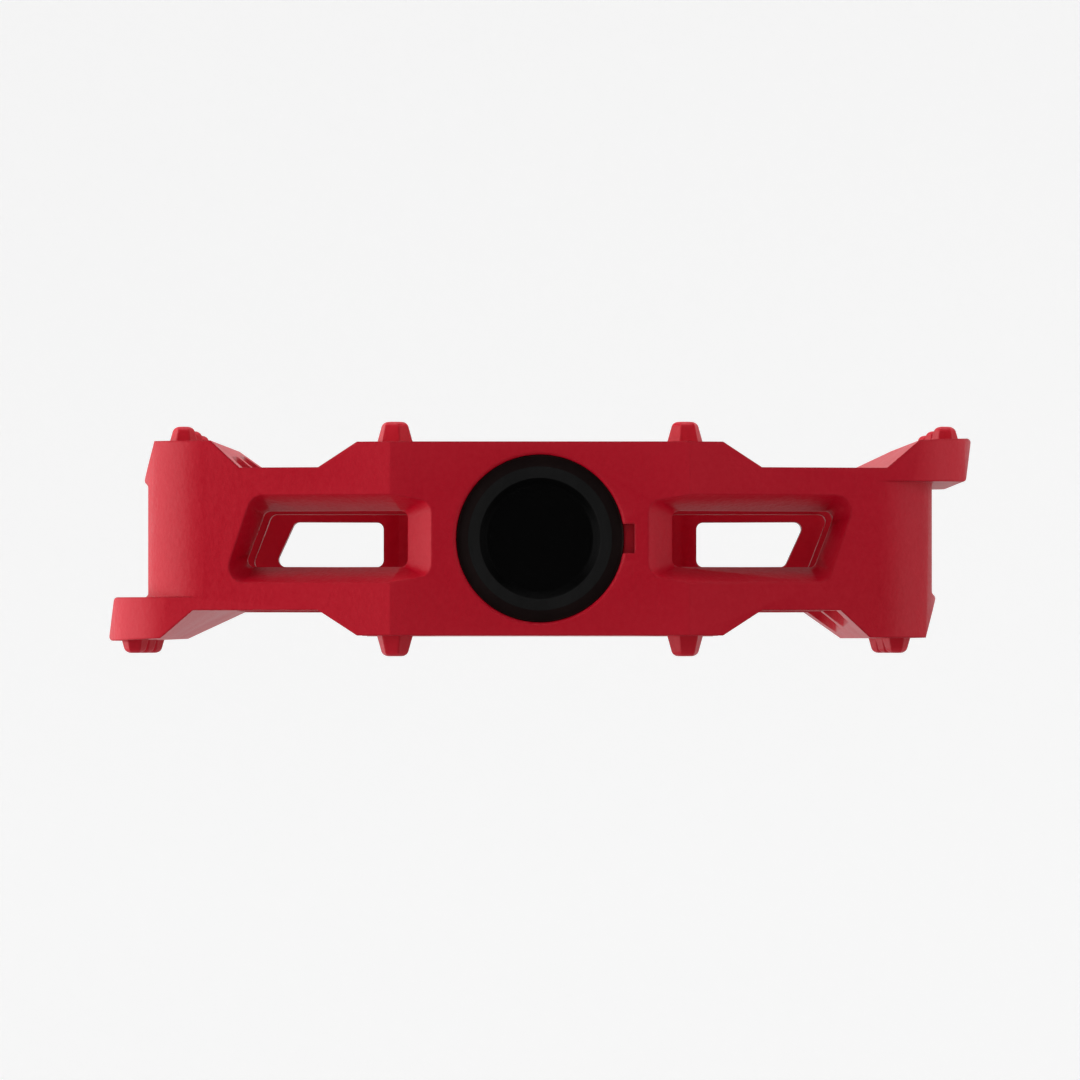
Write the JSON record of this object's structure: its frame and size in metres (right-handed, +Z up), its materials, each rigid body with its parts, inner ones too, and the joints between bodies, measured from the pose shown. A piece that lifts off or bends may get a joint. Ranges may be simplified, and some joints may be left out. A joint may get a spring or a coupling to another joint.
{
  "type": "flat pedal",
  "caption": "Thick moulded flat pedal with moulded traction pins, windowed end bars and open sides, turning on a threaded steel spindle.",
  "frame": {"origin": "centre of the spindle's shoulder face, where the thread meets the crank", "axes": "+Y along the spindle into the crank, +X towards the leading side, +Z up"},
  "size_m": [0.1046, 0.1185, 0.0284],
  "materials": {
    "platform_nylon": "satin moulded red nylon",
    "cap_nylon": "satin black nylon",
    "spindle_steel": "black plated forged steel",
    "bearing_steel": "ground",
    "ball_steel": "polished",
    "washer_steel": "zinc plated",
    "nut_steel": "zinc plated",
    "insert_nylon": "blue nylon",
    "seal_rubber": "matt black rubber",
    "shield_rubber": "rubber-faced",
    "cage_nylon": "natural nylon",
    "bush_polymer": "dark bearing polymer"
  },
  "bodies": {
    "spindle": {"spindle": "spindle_steel", "lock_washer": "washer_steel", "lock_nut": "nut_steel", "nut_insert": "insert_nylon", "inner_bearing_inner_race": "bearing_steel", "outer_bearing_inner_race": "bearing_steel"},
    "platform": {"platform_body": "platform_nylon", "inboard_seal": "seal_rubber", "inboard_bushing": "bush_polymer", "end_cap": "cap_nylon", "end_cap_o_ring": "seal_rubber", "inner_bearing_outer_race": "bearing_steel", "outer_bearing_outer_race": "bearing_steel", "inner_bearing_inboard_shield": "shield_rubber", "inner_bearing_outboard_shield": "shield_rubber", "outer_bearing_inboard_shield": "shield_rubber", "outer_bearing_outboard_shield": "shield_rubber"},
    "inner_ball_set": {"inner_bearing_balls": "ball_steel", "inner_bearing_cage": "cage_nylon"},
    "outer_ball_set": {"outer_bearing_balls": "ball_steel", "outer_bearing_cage": "cage_nylon"}
  },
  "joints": [
    {"name": "platform_spin", "type": "hinge", "parent": "spindle", "child": "platform", "pos_m": [0, -0.056, 0], "axis": [0, 1, 0], "continuous": true},
    {"name": "inner_ball_spin", "type": "hinge", "parent": "spindle", "child": "inner_ball_set", "pos_m": [0, -0.0845, 0], "axis": [0, 1, 0], "continuous": true},
    {"name": "outer_ball_spin", "type": "hinge", "parent": "spindle", "child": "outer_ball_set", "pos_m": [0, -0.0895, 0], "axis": [0, 1, 0], "continuous": true}
  ],
  "couplings": [
    {"joint": "inner_ball_spin", "follows": "platform_spin", "ratio": 0.5833},
    {"joint": "outer_ball_spin", "follows": "platform_spin", "ratio": 0.5833}
  ]
}
